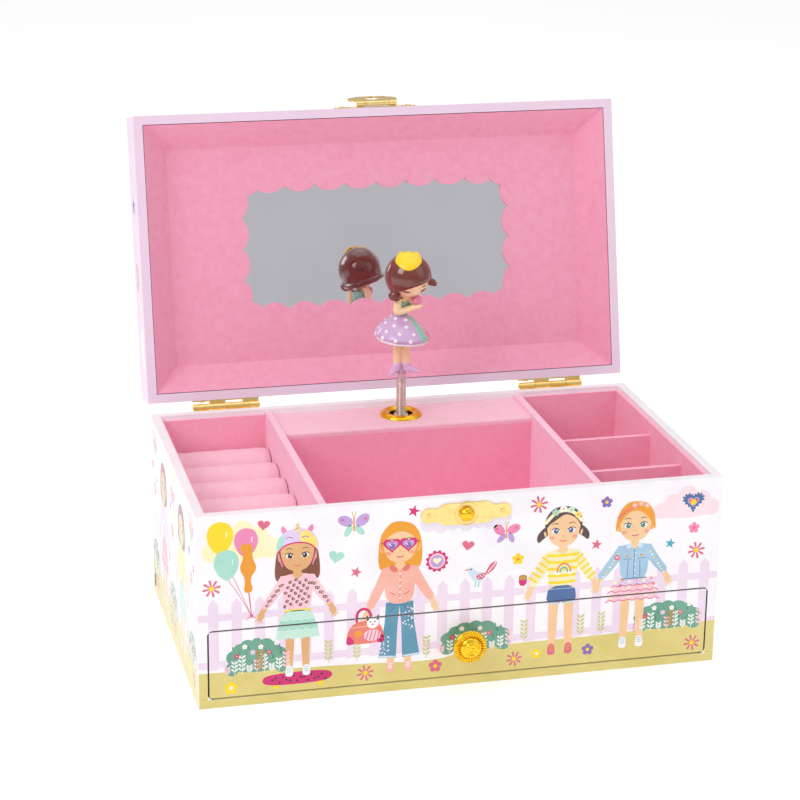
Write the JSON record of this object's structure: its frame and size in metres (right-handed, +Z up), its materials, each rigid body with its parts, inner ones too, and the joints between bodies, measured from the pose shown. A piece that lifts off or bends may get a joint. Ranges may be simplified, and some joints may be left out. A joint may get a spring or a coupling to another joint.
{
  "type": "musical jewellery box with turning dancer",
  "caption": "paper-covered musical jewellery box with a drawer, lined tray, mirrored lid, latch and a wind-up turning dancer on a spring",
  "frame": {"origin": "centre of the underside of the case, on the surface it stands on", "axes": "X along the length, -Y towards the front, +Z up"},
  "size_m": [0.28, 0.2456, 0.2701],
  "materials": {
    "printed_paper": "laid over board, semi-gloss, printed",
    "pink_flock": "short flock",
    "greyboard": "plain",
    "gold_metal": "bright plated",
    "silvered_glass": "polished",
    "bright_steel": "plain drawn",
    "cast_zinc": "as cast",
    "painted_figure": "painted, glossy",
    "clear_plastic": "clear",
    "white_plastic": "moulded"
  },
  "bodies": {
    "case": {"bottom_board": "printed_paper", "comb": "bright_steel", "cross_dividers": "pink_flock", "deck_front_card": "pink_flock", "deck_top_card": "pink_flock", "divider_left": "pink_flock", "divider_right": "pink_flock", "front_board": "printed_paper", "governor_bracket": "bright_steel", "grommet": "gold_metal", "hinge_case_leaves": "gold_metal", "hinge_case_screws": "gold_metal", "hinge_pins": "gold_metal", "latch_nails": "gold_metal", "latch_plate": "gold_metal", "latch_stud": "gold_metal", "left_side_board": "printed_paper", "lining_front": "pink_flock", "lining_left": "pink_flock", "lining_rear": "pink_flock", "lining_right": "pink_flock", "movement_bedplate": "cast_zinc", "movement_screws": "bright_steel", "rear_board": "printed_paper", "right_side_board": "printed_paper", "ring_cushion": "pink_flock", "tray_floor_card": "pink_flock", "tray_shelf": "greyboard"},
    "lid": {"lid_front_board": "printed_paper", "lid_rear_board": "printed_paper", "lid_left_board": "printed_paper", "lid_right_board": "printed_paper", "lid_top_board": "printed_paper", "lid_slope_cards": "pink_flock", "lid_window_card": "pink_flock", "mirror_glass": "silvered_glass", "mirror_backing_card": "greyboard", "hinge_lid_leaves": "gold_metal", "hinge_lid_screws": "gold_metal", "hasp_plate": "gold_metal", "hasp_pin": "gold_metal", "hasp_nails": "gold_metal"},
    "hasp": {"hasp_flap": "gold_metal"},
    "drawer": {"drawer_front": "printed_paper", "drawer_sides": "greyboard", "drawer_back": "greyboard", "drawer_floor": "greyboard", "drawer_lining_pad": "pink_flock", "drawer_knob": "gold_metal", "drawer_knob_screw": "bright_steel"},
    "barrel": {"mainspring_barrel": "cast_zinc"},
    "key": {"winding_arbor": "bright_steel", "winding_key": "gold_metal"},
    "drum": {"pin_drum": "gold_metal", "spring_cup": "white_plastic"},
    "governor": {"governor_wheel": "white_plastic"},
    "fly": {"governor_fly": "white_plastic"},
    "spring": {"dancer_spring": "bright_steel"},
    "dancer": {"dancer_figure": "painted_figure", "dancer_peg": "clear_plastic"}
  },
  "joints": [
    {"name": "lid_hinge", "type": "hinge", "parent": "case", "child": "lid", "pos_m": [0, 0.0845, 0.1065], "axis": [1, 0, 0], "range_deg": [0, 103.3]},
    {"name": "hasp_hinge", "type": "hinge", "parent": "lid", "child": "hasp", "pos_m": [0, 0.12622, 0.26865], "axis": [1, 0, 0], "range_deg": [0, 166.7]},
    {"name": "drawer_slide", "type": "slide", "parent": "case", "child": "drawer", "axis": [0, -1, 0], "range_m": [0, 0.115]},
    {"name": "barrel_turn", "type": "hinge", "parent": "case", "child": "barrel", "pos_m": [0, 0.0693, 0.07], "axis": [0, 1, 0], "continuous": true},
    {"name": "drum_turn", "type": "hinge", "parent": "case", "child": "drum", "pos_m": [0, 0.06, 0.074], "axis": [0, 0, 1], "continuous": true},
    {"name": "governor_turn", "type": "hinge", "parent": "case", "child": "governor", "pos_m": [0.014, 0.06, 0.09], "axis": [0, 0, 1], "continuous": true},
    {"name": "fly_turn", "type": "hinge", "parent": "case", "child": "fly", "pos_m": [0.02525, 0.06, 0.09], "axis": [0, 0, 1], "continuous": true},
    {"name": "key_turn", "type": "hinge", "parent": "case", "child": "key", "pos_m": [0, 0.0805, 0.07], "axis": [0, 1, 0], "continuous": true},
    {"name": "spring_bend", "type": "hinge", "parent": "case", "child": "spring", "pos_m": [0, 0.06, 0.107], "axis": [1, 0, 0], "range_deg": [0, 92], "deforming": ["dancer_spring"]},
    {"name": "dancer_turn", "type": "hinge", "parent": "spring", "child": "dancer", "pos_m": [0, 0.06, 0.1252], "axis": [0, 0, 1], "continuous": true}
  ],
  "couplings": [
    {"joint": "spring_bend", "follows": "lid_hinge", "ratio": 0.8906},
    {"joint": "drum_turn", "follows": "barrel_turn", "ratio": 1.9},
    {"joint": "governor_turn", "follows": "barrel_turn", "ratio": -4.75},
    {"joint": "fly_turn", "follows": "barrel_turn", "ratio": 9.5},
    {"joint": "dancer_turn", "follows": "barrel_turn", "ratio": 1.9}
  ]
}
